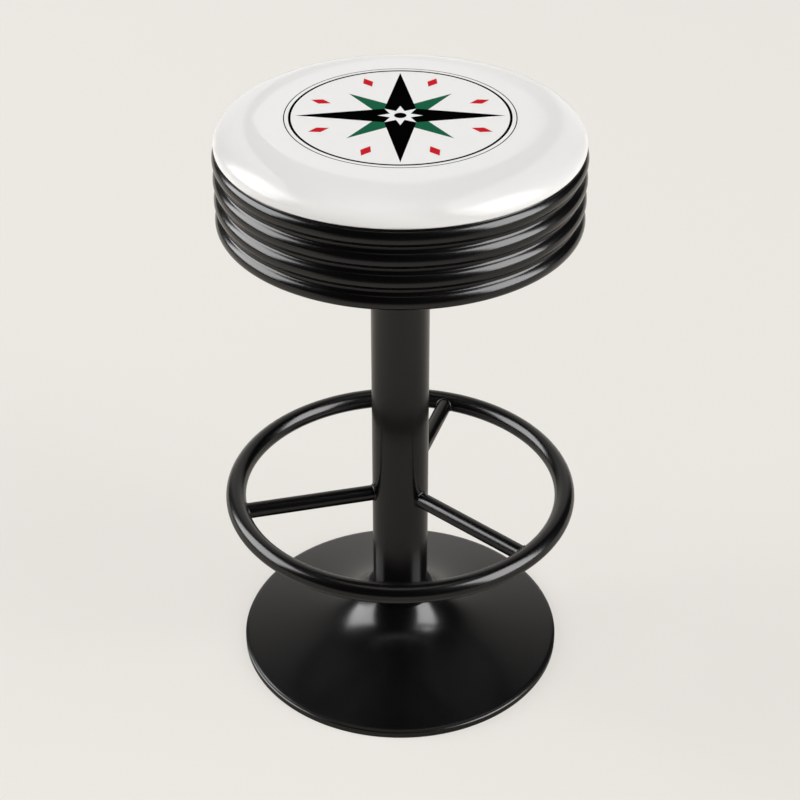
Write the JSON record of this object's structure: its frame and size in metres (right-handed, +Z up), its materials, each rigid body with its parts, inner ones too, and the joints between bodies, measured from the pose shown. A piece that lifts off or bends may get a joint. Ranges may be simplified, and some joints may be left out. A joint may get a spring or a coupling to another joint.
{
  "type": "bar stool",
  "caption": "Round bar stool: swivelling crowned cushion in a ribbed steel band, tube column with a foot ring on spokes, and a trumpet cover over a cast base",
  "frame": {"origin": "on the floor, at the middle of the base", "axes": "+Z up along the column, -Y towards the viewer of the picture, +X to the viewer's right"},
  "size_m": [0.4481, 0.4482, 0.762],
  "materials": {
    "vinyl": "smooth white upholstery vinyl, satin",
    "foam": "open-cell upholstery foam",
    "plywood": "plywood stained black",
    "gloss_black": "gloss black enamel on steel",
    "zinc_steel": "bright zinc plating on steel",
    "ball_steel": "polished bearing steel",
    "iron": "rough casting",
    "rubber": "matte black rubber"
  },
  "bodies": {
    "stand": {"swivel_lower_plate": "zinc_steel", "pivot_pin": "zinc_steel", "pivot_washer": "zinc_steel", "pivot_nut": "zinc_steel", "plate_screws": "zinc_steel", "plate_nuts": "zinc_steel", "column_top_plate": "gloss_black", "column_top_weld": "gloss_black", "column_tube": "gloss_black", "foot_ring": "gloss_black", "spoke_back": "gloss_black", "spoke_left": "gloss_black", "spoke_right": "gloss_black", "spoke_welds": "gloss_black", "column_collar": "gloss_black", "base_cover": "gloss_black", "base_weight": "iron", "column_foot_plate": "gloss_black", "base_bolt": "zinc_steel", "base_washer": "zinc_steel", "floor_ring": "rubber"},
    "seat": {"seat_cover": "vinyl", "seat_foam": "foam", "seat_board": "plywood", "cover_staples": "zinc_steel", "rib_band": "gloss_black", "band_screws": "zinc_steel", "swivel_upper_plate": "zinc_steel", "seat_bolts": "zinc_steel", "seat_bolt_washers": "zinc_steel", "tee_nuts": "zinc_steel"},
    "bearing": {"ball_cage": "zinc_steel", "bearing_balls": "ball_steel"}
  },
  "joints": [
    {"name": "seat_swivel", "type": "hinge", "parent": "stand", "child": "seat", "pos_m": [0, 0, 0.6273], "axis": [0, 0, 1], "continuous": true},
    {"name": "bearing_turn", "type": "hinge", "parent": "stand", "child": "bearing", "pos_m": [0, 0, 0.6273], "axis": [0, 0, 1], "continuous": true}
  ],
  "couplings": [
    {"joint": "bearing_turn", "follows": "seat_swivel", "ratio": 0.5}
  ]
}
